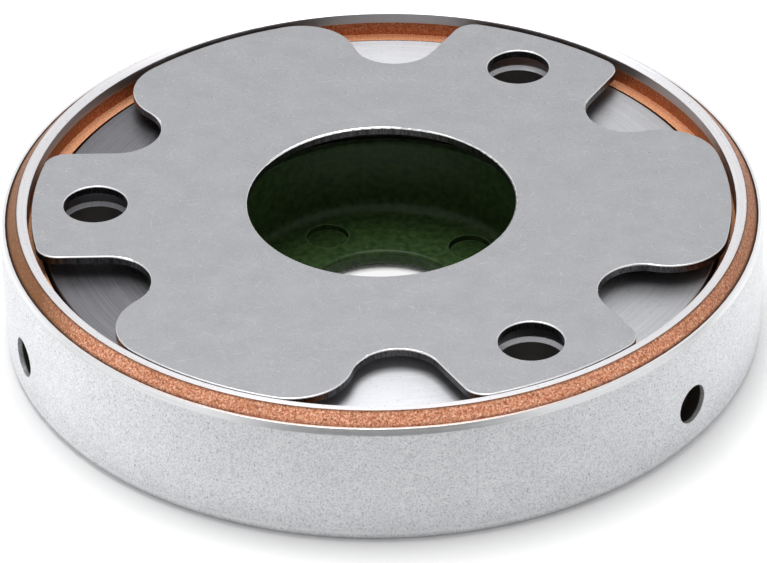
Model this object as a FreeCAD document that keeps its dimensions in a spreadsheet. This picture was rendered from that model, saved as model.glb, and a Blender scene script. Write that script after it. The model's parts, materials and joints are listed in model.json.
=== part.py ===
"""Centrifugal starter clutch, in millimetres.

A dry aluminium drum carries a copper-coloured sintered lining. A driver of two plates and
three hexagonal spacer posts turns inside it, and throws three sprung shoes out onto the lining.
Radii follow outwards from the hub cup, and heights upwards from the drum's web.

The origin is the centre of the drum's base and +Z is the clutch's axis, towards the lobed
front plate. Azimuths are in degrees from +X about +Z. The feature that takes the most skill
is the front plate's outline: three ears and three lobes joined by arcs that are all tangent.
"""
import FreeCAD, Part
import math
import os

import Sketcher
from FreeCAD import Placement, Rotation, Vector

SHOE_COUNT = 3
SECTOR = 360.0 / SHOE_COUNT
HALF_SECTOR = SECTOR / 2.0

SIZES = {
    "drum_wall": 2.4,
    "drum_lip_rise": 0.3,
    "drum_foot_radius": 1.4,
    "lip_wall": 0.72,
    "lip_depth": 4.2,
    "lip_chamfer_width": 0.4,
    "lip_chamfer_height": 0.87,
    "web_thickness": 2.2,
    "register_depth": 1.0,
    "register_clearance": 0.05,
    "base_recess_depth": 0.3,
    "base_land_width": 6.0,
    "hub_land_width": 2.4,
    "vent_radius": 2.65,
    "vent_height": 6.8,
    "vent_azimuth": 81.8,
    "lining_thickness": 2.7,
    "lining_ledge_drop": 0.3,
    "lining_ledge_width": 1.5,
    "lining_ledge_depth": 1.9,
    "lining_cone_drop": 0.25,
    "rim_ring_width": 1.29,
    "rim_ring_height": 1.8,
    "rim_ring_fall": 0.36,
    "cup_bore_radius": 10.8,
    "cup_thickness": 1.4,
    "cup_radius": 22.5,
    "cup_rim_drop": 1.9,
    "cup_corner_radius": 2.0,
    "cup_heel_radius": 1.5,
    "cup_lip_radius": 0.6,
    "cup_rim_radius": 0.4,
    "collar_drop": 0.35,
    "collar_clearance": 0.1,
    "rivet_circle_offset": 0.55,
    "rivet_azimuth": 45.0,
    "rivet_head_radius": 2.7,
    "rivet_head_height": 0.25,
    "rivet_seat_clearance": 0.15,
    "rivet_seat_depth": 1.0,
    "rivet_shank_radius": 1.6,
    "rivet_countersink": 0.8,
    "washer_clearance": 0.7,
    "washer_width": 4.0,
    "washer_thickness": 0.5,
    "back_plate_clearance": 0.9,
    "back_plate_thickness": 1.0,
    "journal_clearance": 0.08,
    "post_cup_distance": 7.5,
    "post_half_width": 4.5,
    "post_body_height": 11.7,
    "post_collar_radius": 6.6,
    "post_collar_height": 1.6,
    "post_tenon_radius": 2.5,
    "post_pocket_clearance": 0.25,
    "shoe_cup_clearance": 0.4,
    "shoe_lining_gap": 0.5,
    "shoe_top_clearance": 0.1,
    "shoe_seam_angle": 1.4,
    "shoe_rim_width": 4.4,
    "shoe_edge_chamfer": 0.15,
    "front_plate_clearance": 0.6,
    "front_plate_thickness": 1.07,
    "front_plate_bore_radius": 17.6,
    "front_plate_edge_radius": 0.2,
    "ear_azimuth": 60.0,
    "ear_half_width": 12.3,
    "ear_corner_radius": 3.0,
    "notch_radius": 5.8,
    "notch_depth": 10.5,
    "lobe_corner_radius": 7.8,
    "stud_edge_distance": 8.35,
    "stud_hole_radius": 4.2,
    "shoe_hole_radius": 4.4,
    "shoe_hole_chamfer": 0.5,
    "spring_post_distance": 10.0,
    "spring_pin_offset": 8.0,
    "spring_pin_radius": 1.0,
    "spring_pin_depth": 3.0,
    "spring_pin_stand": 2.0,
    "trough_half_width": 2.2,
    "trough_depth": 2.4,
    "trough_end_clearance": 2.2,
    "spring_wire_radius": 0.3,
    "spring_coil_radius": 1.2,
    "spring_leg_length": 1.45,
    "spring_lift": 1.8,
    "spring_hook_clearance": 0.05,
}
VENT_COUNT = 3
RIVET_COUNT = 5
SPRING_TURNS = 9
LOOP_SWEEP = 320.0
COUNTERSINK_TAPER = -45.0


class Size:
    """A length or an angle, as a number and as the text that a document expression holds."""

    def __init__(self, number, text=None):
        self.number = float(number)
        self.text = text if text else repr(float(number))

    def __add__(self, other):
        other = as_size(other)
        return Size(self.number + other.number, f"({self.text} + {other.text})")

    def __sub__(self, other):
        other = as_size(other)
        return Size(self.number - other.number, f"({self.text} - {other.text})")

    def __mul__(self, factor):
        return Size(self.number * factor, f"({self.text} * {factor!r})")

    def __neg__(self):
        return self * -1.0

    def cos(self):
        return Size(math.cos(math.radians(self.number)), f"cos({self.text})")

    def sin(self):
        return Size(math.sin(math.radians(self.number)), f"sin({self.text})")

    def times(self, other):
        return Size(self.number * other.number, f"({self.text} * {other.text})")


def as_size(value):
    return value if isinstance(value, Size) else Size(value)


def make_sheet(doc):
    """Write the driving sizes into a sheet named sizes, one aliased cell each."""
    sheet = doc.addObject("Spreadsheet::Sheet", "sizes")
    for row, (name, value) in enumerate(SIZES.items(), start=1):
        sheet.set(f"A{row}", name)
        sheet.set(f"B{row}", str(value))
        sheet.setAlias(f"B{row}", name)
    doc.recompute()


doc = FreeCAD.newDocument("starter_clutch")
make_sheet(doc)
size = {name: Size(value, f"sizes.{name}") for name, value in SIZES.items()}
ZERO = Size(0.0)

# Radii that more than one piece uses, outwards from the hub cup to the drum.
cup_inner_radius = size["cup_radius"] - size["cup_thickness"]
collar_radius = size["cup_bore_radius"] + size["cup_thickness"]
rivet_circle_radius = (size["cup_bore_radius"] + cup_inner_radius) * 0.5 + size["rivet_circle_offset"]
closed_head_radius = size["rivet_shank_radius"] + size["rivet_countersink"]
washer_radius = size["cup_radius"] + size["washer_clearance"]
shoe_inner_radius = size["cup_radius"] + size["shoe_cup_clearance"]
post_circle_radius = size["cup_radius"] + size["post_cup_distance"]
spring_line_radius = post_circle_radius + size["spring_post_distance"]
shoe_radius = spring_line_radius + size["shoe_rim_width"]
lining_bore_radius = shoe_radius + size["shoe_lining_gap"]
ledge_radius = lining_bore_radius + size["lining_ledge_width"]
rim_ring_radius = ledge_radius + size["rim_ring_width"]
wall_bore_radius = lining_bore_radius + size["lining_thickness"]
drum_radius = wall_bore_radius + size["drum_wall"]
lip_bore_radius = drum_radius - size["lip_wall"]
front_plate_radius = ledge_radius - size["front_plate_clearance"]
notch_reach = front_plate_radius - size["notch_depth"]
stud_circle_radius = front_plate_radius - size["stud_edge_distance"]

# Heights that more than one piece uses, upwards from the drum's base.
cup_seat_height = size["web_thickness"] - size["register_depth"]
cup_floor_height = cup_seat_height + size["cup_thickness"]
rivet_seat_height = cup_floor_height - size["rivet_seat_depth"]
back_plate_base = size["web_thickness"] + size["washer_thickness"]
back_plate_top = back_plate_base + size["back_plate_thickness"]
post_collar_base = back_plate_top + size["post_body_height"]
front_plate_base = post_collar_base + size["post_collar_height"]
shoe_top = post_collar_base - size["shoe_top_clearance"]
shoe_height = shoe_top - back_plate_top
cup_rim_height = shoe_top - size["cup_rim_drop"]
ledge_height = shoe_top - size["lining_ledge_drop"]
rim_ring_seat_height = ledge_height + size["lining_ledge_depth"]
rim_ring_top = rim_ring_seat_height + size["rim_ring_height"]
drum_height = rim_ring_seat_height + size["drum_lip_rise"]
lip_step_height = drum_height - size["lip_depth"]
trough_floor = shoe_top - size["trough_depth"]
spring_height = trough_floor + size["spring_lift"]

# A return spring's loop runs round its pin's middle, and its coil takes the room left between.
loop_radius = size["spring_pin_radius"] + size["spring_hook_clearance"] + size["spring_wire_radius"]
coil_half_length = size["spring_pin_offset"] - loop_radius - size["spring_leg_length"]
coil_length = coil_half_length * 2.0


class Body:
    """One sub-part as a body, with the sketches and features that this clutch needs."""

    def __init__(self, name, azimuth=ZERO):
        self.body = doc.addObject("PartDesign::Body", name)
        self.body.Label = name
        if azimuth is not ZERO:
            self.body.Placement = Placement(Vector(0, 0, 0), Rotation(Vector(0, 0, 1), azimuth.number))
            self.body.setExpression("Placement.Rotation.Angle", azimuth.text)
        self.steps = 0

    def origin(self, role):
        return next(item for item in self.body.Origin.OriginFeatures if item.Role == role)

    def add(self, kind):
        self.steps += 1
        return self.body.newObject(kind, f"{self.body.Name}_step{self.steps}")

    def sketch(self, role, height=ZERO, turn=ZERO):
        """A sketch on an origin plane, lifted along its normal or turned about its own Y."""
        sketch = self.add("Sketcher::SketchObject")
        sketch.AttachmentSupport = [(self.origin(role), "")]
        sketch.MapMode = "FlatFace"
        sketch.AttachmentOffset = Placement(Vector(0, 0, height.number),
                                            Rotation(Vector(0, 1, 0), turn.number))
        if height is not ZERO:
            sketch.setExpression("AttachmentOffset.Base.z", height.text)
        if turn is not ZERO:
            sketch.setExpression("AttachmentOffset.Rotation.Angle", turn.text)
        return sketch

    def finish(self, feature):
        self.body.Tip = feature
        doc.recompute()
        return feature

    def revolve(self, points, angle=Size(360.0)):
        """A ring from a closed outline of radius and height pairs, centred on azimuth 0."""
        sketch = self.sketch("XZ_Plane")
        polygon(sketch, points)
        ring = self.add("PartDesign::Revolution")
        ring.Profile = sketch
        ring.ReferenceAxis = (sketch, ["V_Axis"])
        ring.Midplane = angle.number < 360.0
        bind(ring, "Angle", angle)
        return self.finish(ring)

    def pad(self, sketch, height, taper=0.0):
        pad = self.add("PartDesign::Pad")
        pad.Profile = sketch
        pad.TaperAngle = taper
        bind(pad, "Length", height)
        return self.finish(pad)

    def pocket(self, sketch, depth, along_normal=False):
        """Cut a sketch's outline to a depth, and check that it removes material."""
        before = self.body.Shape.Volume
        cut = self.add("PartDesign::Pocket")
        cut.Profile = sketch
        cut.Reversed = along_normal
        bind(cut, "Length", depth)
        self.finish(cut)
        if self.body.Shape.Volume >= before:
            raise ValueError(f"{cut.Name} cuts nothing from {self.body.Label}")
        return cut

    def around(self, features, count):
        pattern = self.add("PartDesign::PolarPattern")
        pattern.Originals = features
        pattern.Axis = (self.origin("Z_Axis"), [""])
        pattern.Angle = 360.0
        pattern.Occurrences = count
        return self.finish(pattern)

    def mirror(self, features):
        """Repeat features on the other side of the plane through azimuth 0."""
        mirrored = self.add("PartDesign::Mirrored")
        mirrored.Originals = features
        mirrored.MirrorPlane = (self.origin("XZ_Plane"), [""])
        return self.finish(mirrored)

    def edges(self, wanted):
        """Names of the tip's edges for which wanted(edge) holds."""
        shape = self.body.Shape
        names = [f"Edge{i}" for i, edge in enumerate(shape.Edges, start=1) if wanted(edge)]
        if not names:
            raise ValueError(f"no edge to round or chamfer on {self.body.Label}")
        return names

    def rings(self, radius, height):
        """Names of the circles of one radius at one height, whatever axis they turn about."""
        return self.edges(lambda edge: is_circle(edge, radius.number, height.number))

    def dress(self, kind, names, amount):
        base = self.body.Tip
        dressed = self.add(kind)
        dressed.Base = (base, names)
        bind(dressed, "Radius" if kind.endswith("Fillet") else "Size", amount)
        return self.finish(dressed)

    def fillet(self, names, radius):
        return self.dress("PartDesign::Fillet", names, radius)

    def chamfer(self, names, width):
        return self.dress("PartDesign::Chamfer", names, width)


def bind(feature, name, amount):
    setattr(feature, name, amount.number)
    if "sizes." in amount.text:
        feature.setExpression(name, amount.text)


def is_circle(edge, radius, height):
    curve = edge.Curve
    if not isinstance(curve, Part.Circle):
        return False
    return abs(curve.Radius - radius) < 1e-4 and abs(curve.Center.z - height) < 1e-4


def hold(sketch, kind, geometry, amount, point=None):
    """Constrain one size of a sketch and bind it to its expression."""
    if point is None:
        index = sketch.addConstraint(Sketcher.Constraint(kind, geometry, amount.number))
    else:
        index = sketch.addConstraint(Sketcher.Constraint(kind, geometry, point, amount.number))
    if "sizes." in amount.text:
        name = f"{kind.lower()}_{index}"
        sketch.renameConstraint(index, name)
        sketch.setExpression(f"Constraints.{name}", amount.text)


def hold_point(sketch, geometry, point, place):
    """Fix a sketch point at a pair of sizes; a zero puts it on the sketch's axis."""
    for kind, axis, amount in (("DistanceX", -2, place[0]), ("DistanceY", -1, place[1])):
        if amount is ZERO:
            sketch.addConstraint(Sketcher.Constraint("PointOnObject", geometry, point, axis))
        else:
            hold(sketch, kind, geometry, amount, point)


def vector(place):
    return Vector(place[0].number, place[1].number, 0)


def polygon(sketch, points):
    """A closed outline of straight lines with every corner held by its own pair of sizes."""
    lines = []
    for start, end in zip(points, points[1:] + points[:1]):
        lines.append(sketch.addGeometry(Part.LineSegment(vector(start), vector(end))))
    for line, before, place in zip(lines, lines[-1:] + lines[:-1], points):
        sketch.addConstraint(Sketcher.Constraint("Coincident", before, 2, line, 1))
        hold_point(sketch, line, 1, place)


def circle(sketch, centre, radius):
    ring = sketch.addGeometry(Part.Circle(vector(centre), Vector(0, 0, 1), radius.number))
    hold(sketch, "Radius", ring, radius)
    if centre == (ZERO, ZERO):
        sketch.addConstraint(Sketcher.Constraint("Coincident", ring, 3, -1, 1))
    else:
        hold_point(sketch, ring, 3, centre)


def at_azimuth(radius, azimuth, shift=ZERO):
    """The place at a radius on a fixed azimuth, moved square to it by a shift."""
    cosine = math.cos(math.radians(azimuth))
    sine = math.sin(math.radians(azimuth))
    return (radius * cosine - shift * sine, radius * sine + shift * cosine)


def drill_vents(piece):
    """Three radial vents through the wall of the drum or of its lining."""
    sketch = piece.sketch("YZ_Plane", turn=size["vent_azimuth"])
    circle(sketch, (ZERO, size["vent_height"]), size["vent_radius"])
    vent = piece.pocket(sketch, drum_radius + size["drum_wall"], along_normal=True)
    return piece.around([vent], VENT_COUNT)


def rivet_place():
    azimuth = size["rivet_azimuth"]
    radius = rivet_circle_radius
    return (radius.times(azimuth.cos()), radius.times(azimuth.sin()))


def drill_rivet_holes(piece, top, radius, depth):
    """A hole for each hub rivet, from a height down."""
    sketch = piece.sketch("XY_Plane", height=top)
    circle(sketch, rivet_place(), radius)
    hole = piece.pocket(sketch, depth)
    return piece.around([hole], RIVET_COUNT)


def make_drum():
    drum = Body("drum")
    bore = collar_radius + size["collar_clearance"]
    register = size["cup_radius"] + size["register_clearance"]
    chamfer_base = drum_height - size["lip_chamfer_height"]
    chamfer_radius = drum_radius - size["lip_chamfer_width"]
    recess_inner_radius = rivet_circle_radius + closed_head_radius + size["hub_land_width"]
    recess_outer_radius = drum_radius - size["base_land_width"]
    drum.revolve([
        (bore, ZERO),
        (recess_inner_radius, ZERO),
        (recess_inner_radius, size["base_recess_depth"]),
        (recess_outer_radius, size["base_recess_depth"]),
        (recess_outer_radius, ZERO),
        (drum_radius, ZERO),
        (drum_radius, chamfer_base),
        (chamfer_radius, drum_height),
        (lip_bore_radius, drum_height),
        (lip_bore_radius, lip_step_height),
        (wall_bore_radius, lip_step_height),
        (wall_bore_radius, size["web_thickness"]),
        (register, size["web_thickness"]),
        (register, cup_seat_height),
        (bore, cup_seat_height),
    ])
    drum.fillet(drum.rings(drum_radius, ZERO), size["drum_foot_radius"])
    drill_vents(drum)
    drill_rivet_holes(drum, cup_seat_height, size["rivet_shank_radius"], cup_seat_height)
    drum.chamfer(drum.rings(size["rivet_shank_radius"], ZERO), size["rivet_countersink"])


def make_friction_lining():
    """A stepped ring: bore, ledge, seat for the rim ring and a sleeve that ends in a cone."""
    lining = Body("friction_lining")
    lining.revolve([
        (lining_bore_radius, size["web_thickness"]),
        (wall_bore_radius, size["web_thickness"]),
        (wall_bore_radius, lip_step_height),
        (lip_bore_radius, lip_step_height),
        (lip_bore_radius, drum_height - size["lining_cone_drop"]),
        (rim_ring_radius, rim_ring_top),
        (rim_ring_radius, rim_ring_seat_height),
        (ledge_radius, rim_ring_seat_height),
        (ledge_radius, ledge_height),
        (lining_bore_radius, ledge_height),
    ])
    drill_vents(lining)


def make_rim_ring():
    ring = Body("rim_ring")
    ring.revolve([
        (ledge_radius, rim_ring_seat_height),
        (rim_ring_radius, rim_ring_seat_height),
        (rim_ring_radius, rim_ring_top),
        (ledge_radius, rim_ring_top - size["rim_ring_fall"]),
    ])


def make_hub_cup():
    """A pressed cup with a bore collar turned down through the web and seats for rivets."""
    cup = Body("hub_cup")
    collar_base = cup_seat_height - size["collar_drop"]
    cup.revolve([
        (size["cup_bore_radius"], collar_base),
        (collar_radius, collar_base),
        (collar_radius, cup_seat_height),
        (size["cup_radius"], cup_seat_height),
        (size["cup_radius"], cup_rim_height),
        (cup_inner_radius, cup_rim_height),
        (cup_inner_radius, cup_floor_height),
        (size["cup_bore_radius"], cup_floor_height),
    ])
    cup.fillet(cup.rings(cup_inner_radius, cup_floor_height), size["cup_corner_radius"])
    cup.fillet(cup.rings(size["cup_radius"], cup_seat_height), size["cup_heel_radius"])
    cup.fillet(cup.rings(size["cup_bore_radius"], cup_floor_height), size["cup_lip_radius"])
    rim = cup.rings(size["cup_radius"], cup_rim_height)
    rim += cup.rings(cup_inner_radius, cup_rim_height)
    cup.fillet(rim, size["cup_rim_radius"])
    seat_radius = size["rivet_head_radius"] + size["rivet_seat_clearance"]
    drill_rivet_holes(cup, cup_floor_height, seat_radius, size["rivet_seat_depth"])
    shank_length = rivet_seat_height - cup_seat_height
    drill_rivet_holes(cup, rivet_seat_height, size["rivet_shank_radius"], shank_length)


def make_hub_rivets():
    """Flat-headed rivets, one solid each, closed in the countersinks under the web."""
    rivets = Body("hub_rivets")
    rivets.body.AllowCompound = True
    place = rivet_place()
    head = rivets.sketch("XY_Plane", height=rivet_seat_height)
    circle(head, place, size["rivet_head_radius"])
    head_pad = rivets.pad(head, size["rivet_head_height"])
    shank = rivets.sketch("XY_Plane")
    circle(shank, place, size["rivet_shank_radius"])
    shank_pad = rivets.pad(shank, rivet_seat_height)
    closed_end = rivets.sketch("XY_Plane")
    circle(closed_end, place, closed_head_radius)
    closed_pad = rivets.pad(closed_end, size["rivet_countersink"], taper=COUNTERSINK_TAPER)
    rivets.around([head_pad, shank_pad, closed_pad], RIVET_COUNT)


def make_thrust_washer():
    washer = Body("thrust_washer")
    outer = washer_radius + size["washer_width"]
    washer.revolve([
        (washer_radius, size["web_thickness"]),
        (outer, size["web_thickness"]),
        (outer, back_plate_base),
        (washer_radius, back_plate_base),
    ])


def make_back_plate():
    """A plain round plate that runs on the cup's wall and holds the posts' tenons."""
    plate = Body("back_plate", azimuth=size["ear_azimuth"] + HALF_SECTOR)
    bore = size["cup_radius"] + size["journal_clearance"]
    radius = lining_bore_radius - size["back_plate_clearance"]
    plate.revolve([
        (bore, back_plate_base),
        (radius, back_plate_base),
        (radius, back_plate_top),
        (bore, back_plate_top),
    ])
    sketch = plate.sketch("XY_Plane", height=back_plate_top)
    circle(sketch, (post_circle_radius, ZERO), size["post_tenon_radius"])
    hole = plate.pocket(sketch, size["back_plate_thickness"])
    plate.around([hole], SHOE_COUNT)


def hexagon(sketch, centre, half_width):
    """A regular hexagon with a corner towards azimuth 0, from its width across flats."""
    corner_radius = half_width * (2.0 / math.sqrt(3.0))
    corners = []
    for azimuth in range(0, 360, 60):
        across, up = at_azimuth(corner_radius, azimuth)
        corners.append((centre[0] + across, centre[1] + up))
    polygon(sketch, corners)


def lobe_azimuth(index):
    return size["ear_azimuth"] + HALF_SECTOR + SECTOR * index


def ear_azimuth(index):
    return size["ear_azimuth"] + SECTOR * index


def make_spacer_post(index):
    """A hexagonal post whose inner flats lie along the slides of the shoes beside it."""
    post = Body(f"spacer_post_{index + 1}", azimuth=lobe_azimuth(index))
    centre = (post_circle_radius, ZERO)
    body = post.sketch("XY_Plane", height=back_plate_top)
    hexagon(body, centre, size["post_half_width"])
    post.pad(body, size["post_body_height"])
    collar = post.sketch("XY_Plane", height=post_collar_base)
    circle(collar, centre, size["post_collar_radius"])
    post.pad(collar, size["post_collar_height"])
    tenon = post.sketch("XY_Plane", height=back_plate_base)
    circle(tenon, centre, size["post_tenon_radius"])
    post.pad(tenon, size["back_plate_thickness"])


def lobe_centre():
    """Centre of the arc that rounds a lobe: inside the rim circle and outside the notch's."""
    from_axis = front_plate_radius.number - SIZES["lobe_corner_radius"]
    from_notch = SIZES["lobe_corner_radius"] + SIZES["notch_radius"]
    notch = Vector(notch_reach.number, SIZES["ear_half_width"] + SIZES["notch_radius"], 0)
    cosine = (from_axis ** 2 + notch.Length ** 2 - from_notch ** 2) / (2 * from_axis * notch.Length)
    azimuth = math.atan2(notch.y, notch.x) + math.acos(cosine)
    return Vector(math.cos(azimuth), math.sin(azimuth), 0) * from_axis


def sector_arc(sketch, centre, radius, start, end):
    """An arc from one place to another, drawn anticlockwise about its centre."""
    angles = [math.atan2(place.y - centre.y, place.x - centre.x) for place in (start, end)]
    ring = Part.Circle(centre, Vector(0, 0, 1), radius)
    return sketch.addGeometry(Part.ArcOfCircle(ring, angles[0], angles[1]))


def draw_plate_sector(sketch):
    """Half an ear and half a lobe, as a wedge from the ear's centre line to the lobe's."""
    rim = front_plate_radius.number
    half_width = SIZES["ear_half_width"]
    corner = SIZES["ear_corner_radius"]
    notch = SIZES["notch_radius"]
    origin = Vector(0, 0, 0)
    side = Vector(math.cos(math.radians(HALF_SECTOR)), math.sin(math.radians(HALF_SECTOR)), 0)
    corner_y = half_width - corner
    corner_centre = Vector(math.sqrt((rim - corner) ** 2 - corner_y ** 2), corner_y, 0)
    notch_centre = Vector(notch_reach.number, half_width + notch, 0)
    lobe = lobe_centre()
    inflection = notch_centre + (lobe - notch_centre).normalize() * notch
    corner_start = corner_centre + Vector(corner_centre).normalize() * corner
    side_start = Vector(corner_centre.x, half_width, 0)
    side_end = Vector(notch_centre.x, half_width, 0)
    lobe_end = lobe + Vector(lobe).normalize() * SIZES["lobe_corner_radius"]

    ear_line = sketch.addGeometry(Part.LineSegment(origin, Vector(rim, 0, 0)))
    ear_arc = sector_arc(sketch, origin, rim, Vector(rim, 0, 0), corner_start)
    corner_arc = sector_arc(sketch, corner_centre, corner, corner_start, side_start)
    side_line = sketch.addGeometry(Part.LineSegment(side_start, side_end))
    notch_arc = sector_arc(sketch, notch_centre, notch, inflection, side_end)
    lobe_arc = sector_arc(sketch, lobe, SIZES["lobe_corner_radius"], inflection, lobe_end)
    rim_arc = sector_arc(sketch, origin, rim, lobe_end, side * rim)
    lobe_line = sketch.addGeometry(Part.LineSegment(side * rim, origin))

    for first, first_end, second, second_end in (
            (ear_arc, 2, corner_arc, 1), (corner_arc, 2, side_line, 1), (side_line, 2, notch_arc, 2),
            (notch_arc, 1, lobe_arc, 1), (lobe_arc, 2, rim_arc, 1)):
        sketch.addConstraint(Sketcher.Constraint("Tangent", first, first_end, second, second_end))
    for first, first_end, second, second_end in (
            (ear_line, 2, ear_arc, 1), (rim_arc, 2, lobe_line, 1), (lobe_line, 2, ear_line, 1),
            (ear_line, 1, -1, 1), (ear_arc, 3, -1, 1), (rim_arc, 3, -1, 1)):
        sketch.addConstraint(Sketcher.Constraint("Coincident", first, first_end, second, second_end))
    sketch.addConstraint(Sketcher.Constraint("PointOnObject", ear_line, 2, -1))
    sketch.addConstraint(Sketcher.Constraint("Horizontal", side_line))
    hold(sketch, "Radius", ear_arc, front_plate_radius)
    hold(sketch, "Radius", rim_arc, front_plate_radius)
    hold(sketch, "Radius", corner_arc, size["ear_corner_radius"])
    hold(sketch, "Radius", notch_arc, size["notch_radius"])
    hold(sketch, "Radius", lobe_arc, size["lobe_corner_radius"])
    hold(sketch, "DistanceX", notch_arc, notch_reach, point=3)
    hold(sketch, "DistanceY", side_line, size["ear_half_width"], point=1)
    hold(sketch, "DistanceX", lobe_line, front_plate_radius * side.x, point=1)


def make_front_plate():
    """Three ears and three lobes, from one sector that is mirrored and turned."""
    plate = Body("front_plate", azimuth=size["ear_azimuth"])
    sketch = plate.sketch("XY_Plane", height=front_plate_base)
    draw_plate_sector(sketch)
    sector = plate.pad(sketch, size["front_plate_thickness"])
    whole = plate.add("PartDesign::MultiTransform")
    whole.Originals = [sector]
    mirrored = plate.add("PartDesign::Mirrored")
    mirrored.MirrorPlane = (plate.origin("XZ_Plane"), [""])
    turned = plate.add("PartDesign::PolarPattern")
    turned.Axis = (plate.origin("Z_Axis"), [""])
    turned.Angle = 360.0
    turned.Occurrences = SHOE_COUNT
    whole.Transformations = [mirrored, turned]
    plate.finish(whole)
    top = front_plate_base + size["front_plate_thickness"]
    bore = plate.sketch("XY_Plane", height=top)
    circle(bore, (ZERO, ZERO), size["front_plate_bore_radius"])
    plate.pocket(bore, size["front_plate_thickness"])
    studs = plate.sketch("XY_Plane", height=top)
    circle(studs, (stud_circle_radius, ZERO), size["stud_hole_radius"])
    hole = plate.pocket(studs, size["front_plate_thickness"])
    plate.around([hole], SHOE_COUNT)
    top_edges = plate.edges(lambda edge: edge.BoundBox.ZMin > top.number - 1e-4)
    plate.fillet(top_edges, size["front_plate_edge_radius"])


def make_shoe(index):
    """A third of a ring that slides out along its own azimuth between two posts."""
    shoe = Body(f"shoe_{index + 1}", azimuth=ear_azimuth(index))
    shoe.revolve([
        (shoe_inner_radius, back_plate_top),
        (shoe_radius, back_plate_top),
        (shoe_radius, shoe_top),
        (shoe_inner_radius, shoe_top),
    ], angle=Size(SECTOR) - size["shoe_seam_angle"])
    shoe.chamfer(shoe.rings(shoe_radius, shoe_top), size["shoe_edge_chamfer"])

    pocket_sketch = shoe.sketch("XY_Plane", height=shoe_top)
    pocket_half_width = size["post_half_width"] + size["post_pocket_clearance"]
    hexagon(pocket_sketch, at_azimuth(post_circle_radius, HALF_SECTOR), pocket_half_width)
    post_pocket = shoe.pocket(pocket_sketch, shoe_height)

    trough_sketch = shoe.sketch("XY_Plane", height=shoe_top)
    inner = spring_line_radius - size["trough_half_width"]
    outer = spring_line_radius + size["trough_half_width"]
    trough_end = -(size["spring_pin_offset"] + size["trough_end_clearance"])
    polygon(trough_sketch, [
        at_azimuth(inner, HALF_SECTOR, trough_end),
        at_azimuth(outer, HALF_SECTOR, trough_end),
        at_azimuth(outer, HALF_SECTOR, size["trough_half_width"]),
        at_azimuth(inner, HALF_SECTOR, size["trough_half_width"]),
    ])
    trough = shoe.pocket(trough_sketch, size["trough_depth"])

    pin_sketch = shoe.sketch("XY_Plane", height=trough_floor)
    circle(pin_sketch, spring_pin_place(1.0), size["spring_pin_radius"])
    pin_hole = shoe.pocket(pin_sketch, size["spring_pin_depth"])
    shoe.mirror([post_pocket, trough, pin_hole])

    hole_sketch = shoe.sketch("XY_Plane", height=shoe_top)
    circle(hole_sketch, (stud_circle_radius, ZERO), size["shoe_hole_radius"])
    shoe.pocket(hole_sketch, shoe_height)
    shoe.chamfer(shoe.rings(size["shoe_hole_radius"], shoe_top), size["shoe_hole_chamfer"])


def spring_pin_place(side):
    """Where a shoe's spring pin stands, in the shoe's own frame, at its end on one side."""
    across, up = at_azimuth(spring_line_radius, HALF_SECTOR, -size["spring_pin_offset"])
    return (across, up * side)


def make_spring_pins(index):
    """The two pins pressed into a shoe's troughs, one at each end."""
    pins = Body(f"spring_pins_{index + 1}", azimuth=ear_azimuth(index))
    pins.body.AllowCompound = True
    sketch = pins.sketch("XY_Plane", height=trough_floor - size["spring_pin_depth"])
    for side in (1.0, -1.0):
        circle(sketch, spring_pin_place(side), size["spring_pin_radius"])
    pins.pad(sketch, size["spring_pin_depth"] + size["spring_pin_stand"])


def place_piece(piece, x, y, z, turn):
    """Place a spring's piece by three sizes, each bound where it follows a named one."""
    piece.Placement = Placement(Vector(x.number, y.number, z.number), turn)
    for axis, amount in (("x", x), ("y", y), ("z", z)):
        if "sizes." in amount.text:
            piece.setExpression(f"Placement.Base.{axis}", amount.text)


def make_hook(name, end):
    """One end of a spring's wire: a bend off the coil, a straight leg and an open loop."""
    wire = size["spring_wire_radius"]
    side = 1.0 if end == "high" else -1.0
    turn = Rotation(Vector(1, 0, 0), 180) if end == "high" else Rotation()
    start = coil_length if end == "high" else ZERO
    bend_height = start + loop_radius * side
    loop_height = bend_height + size["spring_leg_length"] * side
    x_axis, y_axis, z_axis = Vector(1, 0, 0), Vector(0, 1, 0), Vector(0, 0, 1)

    bend = doc.addObject("Part::Torus", f"{name}_{end}_bend")
    bind(bend, "Radius1", loop_radius)
    bind(bend, "Radius2", wire)
    bend.Angle3 = 90.0
    off_coil = Rotation(z_axis, -y_axis, x_axis, "ZXY")
    place_piece(bend, size["spring_coil_radius"], ZERO, bend_height, turn.multiply(off_coil))

    leg = doc.addObject("Part::Cylinder", f"{name}_{end}_leg")
    bind(leg, "Radius", wire)
    bind(leg, "Height", size["spring_leg_length"])
    place_piece(leg, size["spring_coil_radius"], loop_radius * side, loop_height, turn)

    loop = doc.addObject("Part::Torus", f"{name}_{end}_loop")
    bind(loop, "Radius1", loop_radius)
    bind(loop, "Radius2", wire)
    loop.Angle3 = LOOP_SWEEP
    off_leg = Rotation(-y_axis, -z_axis, x_axis, "ZXY")
    place_piece(loop, size["spring_coil_radius"], ZERO, loop_height, turn.multiply(off_leg))
    return [bend, leg, loop]


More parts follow.
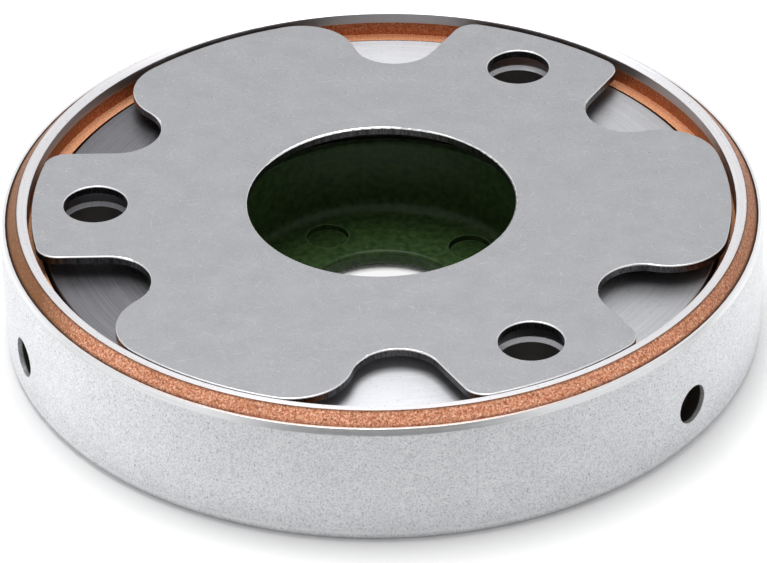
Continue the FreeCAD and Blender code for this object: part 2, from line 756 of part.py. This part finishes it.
def make_return_spring(index):
    """A tension spring across the seam between two shoes, with a loop round each pin."""
    name = f"return_spring_{index + 1}"
    coil = doc.addObject("Part::Helix", f"{name}_coil")
    bind(coil, "Radius", size["spring_coil_radius"])
    bind(coil, "Height", coil_length)
    bind(coil, "Pitch", coil_length * (1.0 / SPRING_TURNS))
    section = doc.addObject("Part::Circle", f"{name}_section")
    bind(section, "Radius", size["spring_wire_radius"])
    place_piece(section, size["spring_coil_radius"], ZERO, ZERO, Rotation(Vector(1, 0, 0), 90))
    turns = doc.addObject("Part::Sweep", f"{name}_turns")
    turns.Sections = [section]
    turns.Spine = (coil, [])
    turns.Solid = True
    turns.Frenet = True
    spring = doc.addObject("Part::MultiFuse", name)
    spring.Label = name
    spring.Shapes = [turns] + make_hook(name, "low") + make_hook(name, "high")
    lay_along_tangent = Rotation(Vector(0, 0, -1), Vector(-1, 0, 0), Vector(0, 1, 0), "ZXY")
    turn = Rotation(Vector(0, 0, 1), lobe_azimuth(index).number)
    middle = Vector(spring_line_radius.number, -coil_half_length.number, spring_height.number)
    spring.Placement = Placement(turn.multVec(middle), turn.multiply(lay_along_tangent))
    doc.recompute()


def check(parts):
    """Stop if any object failed or any sub-part's shape is empty or invalid."""
    for item in doc.Objects:
        if "Invalid" in item.State or "Error" in item.State:
            raise ValueError(f"{item.Label} failed: {item.State}")
    for item in parts:
        if item.Shape.isNull() or not item.Shape.isValid():
            raise ValueError(f"{item.Label} has no valid shape")


make_drum()
make_friction_lining()
make_rim_ring()
make_hub_cup()
make_hub_rivets()
make_thrust_washer()
make_back_plate()
make_front_plate()
for shoe_index in range(SHOE_COUNT):
    make_spacer_post(shoe_index)
    make_shoe(shoe_index)
    make_spring_pins(shoe_index)
    make_return_spring(shoe_index)
doc.recompute()

sub_parts = [item for item in doc.Objects
             if item.isDerivedFrom("PartDesign::Body") or item.isDerivedFrom("Part::MultiFuse")]
check(sub_parts)
os.makedirs("parts", exist_ok=True)
for sub_part in sub_parts:
    sub_part.Shape.exportStep(f"parts/{sub_part.Label}.step")
    print(sub_part.Label, len(sub_part.Shape.Solids), round(sub_part.Shape.Volume, 1))
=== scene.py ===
"""Looks for the starter clutch: materials, floor, lights and camera, in metres.

Every piece comes from the frame. Textures run in millimetres of each node's own coordinates,
so their grain keeps its real size, and the turned faces are grained round the clutch's axis.
"""

import json
import math

import bpy
from mathutils import Matrix, Vector

MILLIMETRES = 1000.0

# The view: where the camera stands round the drum's base, and how it is turned there.
VIEW_AZIMUTH = math.radians(-89.51)
VIEW_ELEVATION = math.radians(34.84)
VIEW_DISTANCE = 0.6458
VIEW_ROLL = math.radians(-1.08)
VIEW_PITCH = math.radians(0.375)
LENS_MM = 227.87
SENSOR_MM = 36.0

# The sky: how bright it is for matt faces and for reflections, and how much dimmer it is in front.
SKY_STRENGTH = 0.48
GLOSS_STRENGTH = 0.92
HORIZON_STRENGTH = 1.0
OVERHEAD_STRENGTH = 0.75 * GLOSS_STRENGTH
FRONT_DIMMING = 0.93
FRONT_DIMMING_ON_MATT = 0.20

# Where it changes, as parts of a direction of length 1: upwards, or ahead along +Y.
HORIZON_BAND = (0.06, 0.22)
OVERHEAD_BAND = (0.45, 0.80)
DIMMED_BAND = (0.60, 0.30)
FRONT_BAND = (-0.68, -0.93)

# One soft lamp, overhead and a little behind.
LAMP_PLACE = Vector((-0.04, 0.08, 0.62))
LAMP_SIZE = 0.36
LAMP_POWER = 2.6

# The floor: its own grey, its white for the camera, and the dimmer part that reflections meet in
# front. The band is the distance from the axis towards the dimmest side.
FLOOR_SIZE = 8.0
FLOOR_GAP = 0.00002
FLOOR_COLOUR = 0.80
FLOOR_SEEN_COLOUR = 1.15
FLOOR_DIM_COLOUR = 0.625
FLOOR_DIM_BAND = (0.066, 0.014)
DARKEST_AZIMUTH = math.radians(281.0)

# Heights, radii and places along X in millimetres where a finish, a painted highlight or a painted shade
# changes on one node.
LIP_HEIGHT = 16.33
FOOT_HIGHLIGHT_BELOW = (1.15, 1.4)
FOOT_HIGHLIGHT_ABOVE = (1.75, 1.5)
DRUM_SKIN_RADIUS = 49.5
DRUM_SKIN_BASE = 0.6
LEDGE_HEIGHT = 14.9
CONE_INNER_RADIUS = 47.69
CONE_OUTER_RADIUS = 49.28
CONE_TOP_STARTS = LIP_HEIGHT + 1.6
LEFT_PAINTED_SHADE = (-38.0, -43.5)
RIGHT_PAINTED_SHADE = (35.0, 49.0)

# Turned steel: how far reflections are drawn out, its roughness, and the painted shade on the shoes' upright
# faces.
TURNED_ANISOTROPY = 0.56
TURNED_SHINE = 0.44
SHOE_SIDE_SHADE = (0.38, 0.36, 0.35)


class Tree:
    """A material's node tree, with the few kinds of node that these finishes need."""

    def __init__(self, name):
        self.material = bpy.data.materials.new(name)
        self.material.use_nodes = True
        self.nodes = self.material.node_tree.nodes
        self.links = self.material.node_tree.links
        self.shader = self.nodes["Principled BSDF"]
        coordinates = self.nodes.new("ShaderNodeTexCoord")
        self.place = self.scaled(coordinates.outputs["Object"], (MILLIMETRES,) * 3)
        x, y, self.height = self.split(self.place)
        self.across = (x, y)
        square = self.math("ADD", self.math("MULTIPLY", x, x), self.math("MULTIPLY", y, y))
        self.radius = self.math("SQRT", square)
        self.facing_up = self.split(coordinates.outputs["Normal"])[2]

    def split(self, vector):
        node = self.nodes.new("ShaderNodeSeparateXYZ")
        self.links.new(vector, node.inputs["Vector"])
        return tuple(node.outputs)

    def scaled(self, vector, scale, turn=0.0):
        """Coordinates scaled by axis, after a turn about Z in degrees."""
        mapping = self.nodes.new("ShaderNodeMapping")
        mapping.vector_type = "TEXTURE" if turn else "POINT"
        mapping.inputs["Rotation"].default_value[2] = math.radians(turn)
        if turn:
            scale = [1.0 / value for value in scale]
        mapping.inputs["Scale"].default_value = scale
        self.links.new(vector, mapping.inputs["Vector"])
        return mapping.outputs["Vector"]

    def noise(self, scale, detail=3.0, roughness=0.55, vector=None, distortion=0.0):
        """Noise whose grain is about 1 / scale millimetres across."""
        texture = self.nodes.new("ShaderNodeTexNoise")
        texture.inputs["Scale"].default_value = scale
        texture.inputs["Detail"].default_value = detail
        texture.inputs["Roughness"].default_value = roughness
        texture.inputs["Distortion"].default_value = distortion
        self.links.new(vector or self.place, texture.inputs["Vector"])
        return texture.outputs["Fac"]

    def math(self, operation, first, second=0.0):
        node = self.nodes.new("ShaderNodeMath")
        node.operation = operation
        for socket, value in zip(node.inputs, (first, second)):
            if isinstance(value, float):
                socket.default_value = value
            else:
                self.links.new(value, socket)
        return node.outputs[0]

    def band(self, value, low, high, start=0.0, end=1.0):
        """A value taken from low..high to start..end, and held at both ends."""
        node = self.nodes.new("ShaderNodeMapRange")
        for name, number in (("From Min", low), ("From Max", high), ("To Min", start), ("To Max", end)):
            node.inputs[name].default_value = number
        self.links.new(value, node.inputs["Value"])
        return node.outputs["Result"]

    def blend(self, share, first, second):
        """One colour into another by a share from 0 to 1."""
        node = self.nodes.new("ShaderNodeMix")
        node.data_type = "RGBA"
        self.links.new(share, node.inputs["Factor"])
        for socket, value in ((node.inputs[6], first), (node.inputs[7], second)):
            if isinstance(value, tuple):
                socket.default_value = (*value, 1.0)
            else:
                self.links.new(value, socket)
        return node.outputs[2]

    def bump(self, height, depth_mm, normal=None, strength=1.0):
        node = self.nodes.new("ShaderNodeBump")
        node.inputs["Strength"].default_value = strength
        node.inputs["Distance"].default_value = depth_mm / MILLIMETRES
        self.links.new(height, node.inputs["Height"])
        if normal:
            self.links.new(normal, node.inputs["Normal"])
        return node.outputs["Normal"]

    def worn_edge(self, radius_mm):
        """The normal with every sharp edge broken by a small radius."""
        node = self.nodes.new("ShaderNodeBevel")
        node.samples = 6
        node.inputs["Radius"].default_value = radius_mm / MILLIMETRES
        return node.outputs["Normal"]

    def edges(self, radius_mm):
        """1 beside the sharp edges of a solid and 0 away from them."""
        flat = self.nodes.new("ShaderNodeNewGeometry")
        agreement = self.nodes.new("ShaderNodeVectorMath")
        agreement.operation = "DOT_PRODUCT"
        self.links.new(self.worn_edge(radius_mm), agreement.inputs[0])
        self.links.new(flat.outputs["Normal"], agreement.inputs[1])
        return self.band(agreement.outputs["Value"], 0.99, 0.85)

    def radial(self, rings, along):
        """Coordinates that change fast with the distance from the axis and slowly round it."""
        x, y = self.across
        joined = self.nodes.new("ShaderNodeCombineXYZ")
        self.links.new(self.math("MULTIPLY", self.radius, rings), joined.inputs["X"])
        self.links.new(self.math("MULTIPLY", x, along), joined.inputs["Y"])
        self.links.new(self.math("MULTIPLY", y, along), joined.inputs["Z"])
        return joined.outputs["Vector"]

    def turned_round_axis(self, share):
        """Reflections drawn out across the turning marks, which run round the axis."""
        x, y = self.across
        outward = self.nodes.new("ShaderNodeCombineXYZ")
        self.links.new(x, outward.inputs["X"])
        self.links.new(y, outward.inputs["Y"])
        turned = self.nodes.new("ShaderNodeVectorTransform")
        turned.vector_type = "VECTOR"
        turned.convert_from = "OBJECT"
        turned.convert_to = "WORLD"
        self.links.new(outward.outputs["Vector"], turned.inputs["Vector"])
        self.links.new(turned.outputs["Vector"], self.shader.inputs["Tangent"])
        self.shader.inputs["Anisotropic"].default_value = share

    def both(self, first, second):
        return self.math("MULTIPLY", first, second)

    def side_faces(self):
        """1 on faces that stand upright, and 0 on flat ones and on rounded edges."""
        return self.band(self.math("ABSOLUTE", self.facing_up), 0.06, 0.16, 1.0, 0.0)

    def rounded_edges(self):
        """1 on the fillets and chamfers between flat and upright faces."""
        leaving_side = self.band(self.facing_up, 0.10, 0.25)
        return self.both(leaving_side, self.band(self.facing_up, 0.80, 0.97, 1.0, 0.0))

    def scratches(self, turn, share, length=0.12, width=4.5):
        """Sparse straight scratches at one angle: 1 on a scratch and 0 beside it."""
        stretched = self.scaled(self.place, (length, width, length), turn)
        lines = self.noise(1.6, detail=2.0, vector=stretched, distortion=0.25)
        return self.band(lines, 1.0 - share, 1.04 - share)

    def finish(self, colour, roughness, normal, metallic=1.0):
        for name, value in (("Base Color", colour), ("Roughness", roughness), ("Normal", normal)):
            self.links.new(value, self.shader.inputs[name])
        self.shader.inputs["Metallic"].default_value = metallic
        return self.material


def make_aluminium():
    """Tumbled cast aluminium: fine mottling, light and dark specks and a turned lip, with a painted
    highlight along the foot and painted shade on the faces within the outer skin.
    """
    tree = Tree("aluminium")
    mottling = tree.noise(1.1, detail=6.0, roughness=0.72)
    broad = tree.noise(0.16, detail=3.0)
    grain = tree.noise(4.0, detail=3.0, roughness=0.7)
    pits = tree.noise(2.6, detail=3.0, roughness=0.5)
    colour = tree.blend(tree.band(mottling, 0.36, 0.64), (0.81, 0.825, 0.86), (0.97, 0.98, 1.0))
    colour = tree.blend(tree.band(broad, 0.4, 0.62, 0.0, 0.45), colour, (0.80, 0.81, 0.835))
    colour = tree.blend(tree.band(grain, 0.54, 0.64, 0.0, 0.85), colour, (1.0, 1.0, 1.0))
    colour = tree.blend(tree.band(grain, 0.50, 0.37, 0.0, 0.75), colour, (0.53, 0.54, 0.565))
    colour = tree.blend(tree.band(pits, 0.67, 0.71, 0.0, 0.75), colour, (0.22, 0.22, 0.23))
    for turn, share in ((28.0, 0.28), (-50.0, 0.26)):
        colour = tree.blend(tree.both(tree.scratches(turn, share), 0.7), colour, (1.0, 1.0, 1.0))
    # Painted highlight: a broken white band along the foot, where the rounded foot edge catches the light.
    foot = tree.noise(0.5, detail=2.0)
    painted_foot_highlight = tree.both(tree.band(tree.height, *FOOT_HIGHLIGHT_BELOW), tree.band(tree.height, *FOOT_HIGHLIGHT_ABOVE))
    painted_foot_highlight = tree.both(painted_foot_highlight, tree.band(foot, 0.35, 0.6, 0.2, 0.7))
    colour = tree.blend(painted_foot_highlight, colour, (1.0, 1.0, 1.0))
    turned = tree.band(tree.height, LIP_HEIGHT, LIP_HEIGHT + 0.1)
    marks = tree.noise(1.0, detail=3.0, vector=tree.radial(9.0, 0.06))
    lip = tree.blend(tree.band(marks, 0.35, 0.65), (0.80, 0.81, 0.83), (0.95, 0.95, 0.96))
    colour = tree.blend(turned, colour, lip)
    # Painted shade: near black on the faces within the outer skin, such as the vents' bores and the inner
    # wall.
    below_skin = tree.band(tree.radius, DRUM_SKIN_RADIUS, DRUM_SKIN_RADIUS - 0.2)
    painted_inner_shade = tree.both(below_skin, tree.band(tree.height, DRUM_SKIN_BASE, DRUM_SKIN_BASE + 0.2))
    painted_inner_shade = tree.both(painted_inner_shade, tree.band(tree.height, LIP_HEIGHT - 1.0, LIP_HEIGHT - 1.2))
    colour = tree.blend(painted_inner_shade, colour, (0.05, 0.045, 0.04))
    roughness = tree.band(mottling, 0.35, 0.65, 0.36, 0.50)
    roughness = tree.math("SUBTRACT", roughness, tree.both(turned, 0.24))
    bumps = tree.both(mottling, tree.math("SUBTRACT", 1.0, turned))
    normal = tree.bump(bumps, 0.04, tree.worn_edge(0.12), strength=0.6)
    normal = tree.bump(grain, 0.012, normal, strength=0.4)
    return tree.finish(colour, roughness, normal, metallic=0.65)


def make_copper():
    """Sintered lining: coarse grains, orange where rubbed and brown in pores, with painted shade in its
    crevices, below the ledge, on its upright faces and towards its left and right sides, and a painted
    highlight on the upward ledge.
    """
    tree = Tree("sintered_copper")
    grain = tree.noise(3.4, detail=4.0, roughness=0.75)
    broad = tree.noise(0.16, detail=3.0)
    pores = tree.noise(2.0, detail=5.0, roughness=0.75)
    colour = tree.blend(tree.band(grain, 0.38, 0.58), (0.44, 0.13, 0.06), (1.0, 0.50, 0.31))
    colour = tree.blend(tree.band(broad, 0.45, 0.70, 0.0, 0.35), colour, (0.50, 0.19, 0.09))
    colour = tree.blend(tree.band(grain, 0.56, 0.66, 0.0, 0.95), colour, (1.0, 0.78, 0.62))
    colour = tree.blend(tree.band(pores, 0.56, 0.65, 0.0, 0.85), colour, (0.13, 0.05, 0.025))
    sideways = tree.math("ABSOLUTE", tree.across[0])
    # Painted shade: the lining turns dark brown towards its left and right sides.
    left_painted_shade = tree.band(tree.across[0], *LEFT_PAINTED_SHADE, 0.0, 0.88)
    right_painted_shade = tree.band(tree.across[0], *RIGHT_PAINTED_SHADE, 0.0, 0.72)
    colour = tree.blend(left_painted_shade, colour, (0.24, 0.105, 0.04))
    colour = tree.blend(right_painted_shade, colour, (0.24, 0.105, 0.05))
    # Painted shade in the crevices: dark at the cone's outer edge, more towards the sides, and at its inner
    # top edge.
    outer_crevice_shade = tree.band(tree.radius, CONE_OUTER_RADIUS - 0.45, CONE_OUTER_RADIUS - 0.15)
    outer_crevice_shade = tree.both(outer_crevice_shade, tree.band(sideways, 10.0, 34.0, 0.55, 0.95))
    inner_crevice_shade = tree.band(tree.radius, CONE_INNER_RADIUS + 0.25, CONE_INNER_RADIUS + 0.05)
    cone_top = tree.band(tree.height, CONE_TOP_STARTS, CONE_TOP_STARTS + 0.1)
    inner_crevice_shade = tree.both(inner_crevice_shade, cone_top)
    colour = tree.blend(outer_crevice_shade, colour, (0.06, 0.025, 0.015))
    colour = tree.blend(tree.both(inner_crevice_shade, 0.75), colour, (0.10, 0.05, 0.03))
    # Painted shade: darker brown below the ledge, in the gap behind the shoes.
    below_ledge_shade = tree.band(tree.height, LEDGE_HEIGHT, LEDGE_HEIGHT - 0.1)
    colour = tree.blend(below_ledge_shade, colour, (0.20, 0.09, 0.05))
    # Painted shade: the upright faces of the lining darkened.
    painted_wall_shade = tree.both(tree.side_faces(), 0.65)
    colour = tree.blend(painted_wall_shade, colour, (0.24, 0.070, 0.014))
    # Painted highlight: the upward face of the ledge in brighter, more saturated copper, where the overhead
    # light falls on it.
    ledge = tree.band(tree.height, LEDGE_HEIGHT + 0.25, LEDGE_HEIGHT + 0.15)
    ledge = tree.both(tree.both(ledge, tree.band(tree.facing_up, 0.9, 0.95)), 0.85)
    lit_ledge_colour = tree.blend(tree.band(grain, 0.38, 0.62), (0.86, 0.32, 0.13), (1.0, 0.66, 0.42))
    colour = tree.blend(ledge, colour, lit_ledge_colour)
    roughness = tree.band(grain, 0.35, 0.65, 0.60, 0.40)
    normal = tree.bump(grain, 0.09, tree.worn_edge(0.08), strength=0.8)
    normal = tree.bump(pores, 0.08, normal, strength=0.6)
    return tree.finish(colour, roughness, normal, metallic=0.9)


def make_turned_steel(name, dark, light, side):
    """Face-turned steel: faint concentric marks and stains, and painted shade on its upright faces."""
    tree = Tree(name)
    marks = tree.noise(1.0, detail=3.0, roughness=0.7, vector=tree.radial(6.0, 0.05))
    fine = tree.noise(1.0, detail=2.0, vector=tree.radial(16.0, 0.12))
    stains = tree.noise(0.5, detail=5.0, roughness=0.7)
    specks = tree.noise(2.2, detail=4.0)
    colour = tree.blend(tree.band(marks, 0.35, 0.65), dark, light)
    colour = tree.blend(tree.band(stains, 0.5, 0.7, 0.0, 0.4), colour, dark)
    colour = tree.blend(tree.band(specks, 0.62, 0.72, 0.0, 0.5), colour, (0.3, 0.3, 0.31))
    # Painted shade: upright faces take the darker side colour.
    colour = tree.blend(tree.side_faces(), colour, side)
    roughness = tree.band(fine, 0.35, 0.65, TURNED_SHINE, TURNED_SHINE + 0.08)
    normal = tree.bump(marks, 0.003, tree.worn_edge(0.10), strength=0.4)
    normal = tree.bump(fine, 0.002, normal, strength=0.4)
    tree.turned_round_axis(TURNED_ANISOTROPY)
    return tree.finish(colour, roughness, normal)


def make_plate_steel():
    """Satin sheet steel: faint clouds, specks and fine scratches, with a painted highlight on its rounded
    edges, partly polish from wear, and dark sheared sides that are partly painted shade.
    """
    tree = Tree("plate_steel")
    clouds = tree.noise(0.22, detail=5.0, roughness=0.6)
    grain = tree.noise(2.6, detail=5.0, roughness=0.75)
    colour = tree.blend(tree.band(clouds, 0.35, 0.65), (0.40, 0.405, 0.425), (0.45, 0.455, 0.475))
    colour = tree.blend(tree.band(grain, 0.44, 0.58, 0.0, 0.5), colour, (0.56, 0.56, 0.58))
    colour = tree.blend(tree.band(grain, 0.57, 0.66, 0.0, 0.8), colour, (0.20, 0.20, 0.21))
    colour = tree.blend(tree.band(grain, 0.41, 0.33, 0.0, 0.85), colour, (0.82, 0.82, 0.83))
    for turn, share in ((12.0, 0.32), (64.0, 0.30), (-38.0, 0.32), (97.0, 0.30)):
        scratch = tree.both(tree.scratches(turn, share, 0.22, 5.0), 0.5)
        colour = tree.blend(scratch, colour, (0.76, 0.76, 0.77))
    # Painted highlight on the rounded edges, partly polish from wear.
    colour = tree.blend(tree.rounded_edges(), colour, (0.93, 0.93, 0.94))
    # Dark sheared sides: partly the cut edge's own darker tone, partly painted shade.
    sheared = tree.noise(1.0, detail=2.0, vector=tree.scaled(tree.place, (5.0, 5.0, 0.8)))
    side = tree.blend(tree.band(sheared, 0.4, 0.6), (0.05, 0.05, 0.05), (0.13, 0.13, 0.135))
    colour = tree.blend(tree.side_faces(), colour, side)
    roughness = tree.band(grain, 0.35, 0.65, 0.29, 0.40)
    normal = tree.bump(grain, 0.016, strength=0.5)
    return tree.finish(colour, roughness, normal)


def make_olive_paint():
    """Baked dark green enamel with a slight orange peel, and lighter sharp edges that are partly rubbed
    paint and partly a painted highlight.
    """
    tree = Tree("olive_paint")
    peel = tree.noise(1.1, detail=2.0)
    dust = tree.noise(3.4, detail=4.0, roughness=0.7)
    colour = tree.blend(tree.band(peel, 0.35, 0.65), (0.019, 0.042, 0.012), (0.038, 0.074, 0.022))
    colour = tree.blend(tree.band(dust, 0.66, 0.75, 0.0, 0.5), colour, (0.14, 0.17, 0.09))
    # Lighter sharp edges: partly rubbed paint, partly a painted highlight.
    colour = tree.blend(tree.both(tree.edges(0.3), 0.7), colour, (0.13, 0.19, 0.09))
    roughness = tree.band(peel, 0.35, 0.65, 0.32, 0.42)
    normal = tree.bump(peel, 0.015, tree.worn_edge(0.15), strength=0.35)
    tree.shader.inputs["Specular IOR Level"].default_value = 0.16
    return tree.finish(colour, roughness, normal, metallic=0.0)


def make_plain_metal(name, dark, light, shine):
    """Drawn or ground metal for the small inner pieces: fine grain and light staining."""
    tree = Tree(name)
    grain = tree.noise(3.0, detail=4.0, roughness=0.6)
    stain = tree.noise(0.4, detail=3.0)
    colour = tree.blend(tree.band(grain, 0.3, 0.7), dark, light)
    colour = tree.blend(tree.band(stain, 0.5, 0.75, 0.0, 0.5), colour, dark)
    roughness = tree.band(stain, 0.3, 0.7, shine, shine + 0.15)
    normal = tree.bump(grain, 0.01, tree.worn_edge(0.1), strength=0.4)
    return tree.finish(colour, roughness, normal)


def dress(nodes, finishes):
    """Give every node the finish of its own name, or else of its record slot."""
    slots = {row["node"]: row["material_slot"] for row in frame["record"]["subparts"]}
    for name, node in nodes.items():
        material = finishes.get(name) or finishes[slots[name]]
        node.data.materials.clear()
        node.data.materials.append(material)


def band_of(nodes, links, value, low, high, start, end):
    """A value taken from low..high to start..end, which may be numbers or sockets."""
    node = nodes.new("ShaderNodeMapRange")
    for name, number in (("From Min", low), ("From Max", high)):
        node.inputs[name].default_value = number
    for name, amount in (("Value", value), ("To Min", start), ("To Max", end)):
        if isinstance(amount, float):
            node.inputs[name].default_value = amount
        else:
            links.new(amount, node.inputs[name])
    return node.outputs["Result"]


def mixed(nodes, links, share, first, second):
    """One value into another by a share from 0 to 1."""
    return band_of(nodes, links, share, 0.0, 1.0, first, second)


def by_ray(nodes, links, matt, gloss, camera):
    """A value for rays that light matt faces, one for reflections and glass, one for the camera."""
    rays = nodes.new("ShaderNodeLightPath").outputs
    value = mixed(nodes, links, rays["Is Glossy Ray"], matt, gloss)
    value = mixed(nodes, links, rays["Is Transmission Ray"], value, gloss)
    return mixed(nodes, links, rays["Is Camera Ray"], value, camera)


def make_floor():
    """A white floor that keeps the object's shadow."""
    bpy.ops.mesh.primitive_plane_add(size=FLOOR_SIZE, location=(0, 0, -FLOOR_GAP))
    floor = bpy.context.object
    floor.name = "floor"
    material = bpy.data.materials.new("floor_white")
    material.use_nodes = True
    nodes = material.node_tree.nodes
    links = material.node_tree.links
    nodes.remove(nodes["Principled BSDF"])
    diffuse = nodes.new("ShaderNodeBsdfDiffuse")
    place = nodes.new("ShaderNodeNewGeometry")
    towards = nodes.new("ShaderNodeVectorMath")
    towards.operation = "DOT_PRODUCT"
    links.new(place.outputs["Position"], towards.inputs[0])
    towards.inputs[1].default_value = (math.cos(DARKEST_AZIMUTH), math.sin(DARKEST_AZIMUTH), 0.0)
    distance = towards.outputs["Value"]
    gloss = band_of(nodes, links, distance, *FLOOR_DIM_BAND, FLOOR_DIM_COLOUR, FLOOR_SEEN_COLOUR)
    shade = by_ray(nodes, links, FLOOR_COLOUR, gloss, FLOOR_SEEN_COLOUR)
    links.new(shade, diffuse.inputs["Color"])
    links.new(diffuse.outputs["BSDF"], nodes["Material Output"].inputs["Surface"])
    floor.data.materials.append(material)


def make_light():
    """The sky, white where the camera sees it, and the lamp."""
    world = bpy.data.worlds.new("sky")
    bpy.context.scene.world = world
    world.use_nodes = True
    nodes = world.node_tree.nodes
    links = world.node_tree.links
    background = nodes["Background"]
    background.inputs["Color"].default_value = (1.0, 1.0, 1.0, 1.0)
    coordinates = nodes.new("ShaderNodeTexCoord")
    direction = nodes.new("ShaderNodeSeparateXYZ")
    links.new(coordinates.outputs["Generated"], direction.inputs["Vector"])
    ahead = direction.outputs["Y"]
    up = direction.outputs["Z"]
    overhead = band_of(nodes, links, up, *OVERHEAD_BAND, GLOSS_STRENGTH, OVERHEAD_STRENGTH)
    level = band_of(nodes, links, up, *HORIZON_BAND, HORIZON_STRENGTH, overhead)
    front = band_of(nodes, links, ahead, *FRONT_BAND, 0.0, 1.0)
    low = band_of(nodes, links, up, *DIMMED_BAND, 0.0, FRONT_DIMMING)
    gloss = mixed(nodes, links, mixed(nodes, links, front, 0.0, low), level, 0.0)
    low_on_matt = band_of(nodes, links, up, *DIMMED_BAND, 0.0, FRONT_DIMMING_ON_MATT)
    matt = mixed(nodes, links, mixed(nodes, links, front, 0.0, low_on_matt), SKY_STRENGTH, 0.0)
    strength = by_ray(nodes, links, matt, gloss, 1.0)
    links.new(strength, background.inputs["Strength"])

    lamp_data = bpy.data.lights.new("softbox", "AREA")
    lamp_data.energy = LAMP_POWER
    lamp_data.size = LAMP_SIZE
    lamp = bpy.data.objects.new("softbox", lamp_data)
    lamp.location = LAMP_PLACE
    lamp.rotation_euler = (-LAMP_PLACE).to_track_quat("-Z", "Y").to_euler()
    bpy.context.collection.objects.link(lamp)


def make_camera():
    """The photograph's camera: aimed at the origin, rolled, then pitched up a little."""
    flat = math.cos(VIEW_ELEVATION)
    east = flat * math.cos(VIEW_AZIMUTH)
    north = flat * math.sin(VIEW_AZIMUTH)
    outward = Vector((east, north, math.sin(VIEW_ELEVATION)))
    ahead = -outward
    right = ahead.cross(Vector((0, 0, 1))).normalized()
    up = right.cross(ahead)
    rolled_right = right * math.cos(VIEW_ROLL) + up * math.sin(VIEW_ROLL)
    rolled_up = rolled_right.cross(ahead)
    aimed = ahead * math.cos(VIEW_PITCH) + rolled_up * math.sin(VIEW_PITCH)
    aimed_up = rolled_right.cross(aimed)
    turned = Matrix((rolled_right, aimed_up, -aimed)).transposed().to_4x4()
    camera_data = bpy.data.cameras.new("camera")
    camera_data.sensor_width = SENSOR_MM
    camera_data.lens = LENS_MM
    camera = bpy.data.objects.new("camera", camera_data)
    camera.matrix_world = Matrix.Translation(outward * VIEW_DISTANCE) @ turned
    bpy.context.collection.objects.link(camera)
    bpy.context.scene.camera = camera


with open("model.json") as file:
    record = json.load(file)
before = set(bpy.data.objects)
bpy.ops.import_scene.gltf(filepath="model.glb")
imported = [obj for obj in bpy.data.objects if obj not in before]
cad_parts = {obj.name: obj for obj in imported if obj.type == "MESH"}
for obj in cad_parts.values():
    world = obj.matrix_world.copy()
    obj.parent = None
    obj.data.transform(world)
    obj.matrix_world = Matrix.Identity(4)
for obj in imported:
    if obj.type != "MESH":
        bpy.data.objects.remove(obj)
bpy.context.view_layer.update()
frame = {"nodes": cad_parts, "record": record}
bpy.context.scene.view_settings.view_transform = "Standard"
dress(frame["nodes"], {
    "cast_aluminium": make_aluminium(),
    "sintered_copper": make_copper(),
    "turned_steel": make_turned_steel("turned_steel", (0.74, 0.73, 0.75), (0.86, 0.85, 0.87),
                                      (0.50, 0.50, 0.51)),
    "shoe_steel": make_turned_steel("shoe_steel", (0.54, 0.545, 0.57), (0.64, 0.645, 0.67), SHOE_SIDE_SHADE),
    # Painted shade: shoe_2 takes a darker copy of the shoe steel, for the shade and dark reflections on the
    # left shoe's face.
    "shoe_2": make_turned_steel("shaded_shoe_steel", (0.21, 0.21, 0.23), (0.30, 0.30, 0.32), SHOE_SIDE_SHADE),
    "plate_steel": make_plate_steel(),
    "olive_paint": make_olive_paint(),
    "bronze": make_plain_metal("bronze", (0.36, 0.24, 0.11), (0.58, 0.42, 0.21), 0.35),
    "post_steel": make_plain_metal("post_steel", (0.34, 0.34, 0.35), (0.50, 0.50, 0.51), 0.35),
    "pin_steel": make_plain_metal("pin_steel", (0.42, 0.42, 0.43), (0.60, 0.60, 0.60), 0.25),
    "spring_wire": make_plain_metal("spring_wire", (0.20, 0.19, 0.18), (0.38, 0.37, 0.36), 0.3),
})
make_floor()
make_light()
make_camera()
